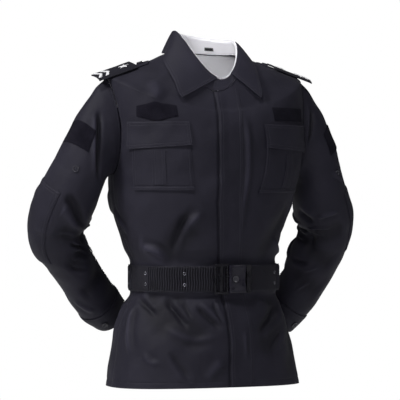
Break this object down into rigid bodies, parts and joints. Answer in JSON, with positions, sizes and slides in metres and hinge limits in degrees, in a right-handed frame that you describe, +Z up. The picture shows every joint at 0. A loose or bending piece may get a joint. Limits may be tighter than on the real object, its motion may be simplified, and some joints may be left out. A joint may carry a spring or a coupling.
{
  "type": "security guard jacket",
  "caption": "Navy guard's jacket filled out as worn, hands behind the back: collar, flapped breast pockets, shoulder boards, elbow patches and a wide webbing belt with a buckle.",
  "frame": {"origin": "middle of the neck seam, between the tops of the shoulders, where the wearer's neck comes through", "axes": "+Z up, -Y towards the front that the wearer faces, +X towards the wearer's left"},
  "size_m": [0.766, 0.3695, 0.7768],
  "materials": {
    "cloth": "navy twill",
    "patch": "black loop pile",
    "lining": "white cotton",
    "rank_white": "white embroidery",
    "label": "bare black tape",
    "button": "black, polished",
    "webbing": "ribbed black nylon webbing",
    "buckle": "black, satin"
  },
  "bodies": {
    "root": {"back": "cloth", "badge_patch": "patch", "belt": "webbing", "buckle_body": "buckle", "buckle_button": "buckle", "buckle_frame": "buckle", "buckle_tongue": "buckle", "chevron_left_1": "rank_white", "chevron_left_2": "rank_white", "chevron_right_1": "rank_white", "chevron_right_2": "rank_white", "collar_fall": "cloth", "collar_lining": "lining", "collar_stand": "cloth", "collar_tab": "cloth", "cuff_button_left": "button", "cuff_button_right": "button", "cuff_left": "cloth", "cuff_right": "cloth", "elbow_patch_left": "cloth", "elbow_patch_right": "cloth", "front_left": "cloth", "front_right": "cloth", "name_patch": "patch", "neck_label": "label", "placket": "cloth", "pocket_band_left": "cloth", "pocket_band_right": "cloth", "pocket_flap_left": "cloth", "pocket_flap_right": "cloth", "pocket_left": "cloth", "pocket_pleat_left": "cloth", "pocket_pleat_right": "cloth", "pocket_right": "cloth", "rank_board_left": "patch", "rank_board_right": "patch", "shoulder_strap_left": "cloth", "shoulder_strap_right": "cloth", "sleeve_button_left": "button", "sleeve_button_right": "button", "sleeve_left": "cloth", "sleeve_patch_left": "patch", "sleeve_patch_right": "patch", "sleeve_right": "cloth", "star_left": "rank_white", "star_right": "rank_white", "strap_button_left": "button", "strap_button_right": "button", "yoke_lining": "lining"}
  },
  "joints": []
}
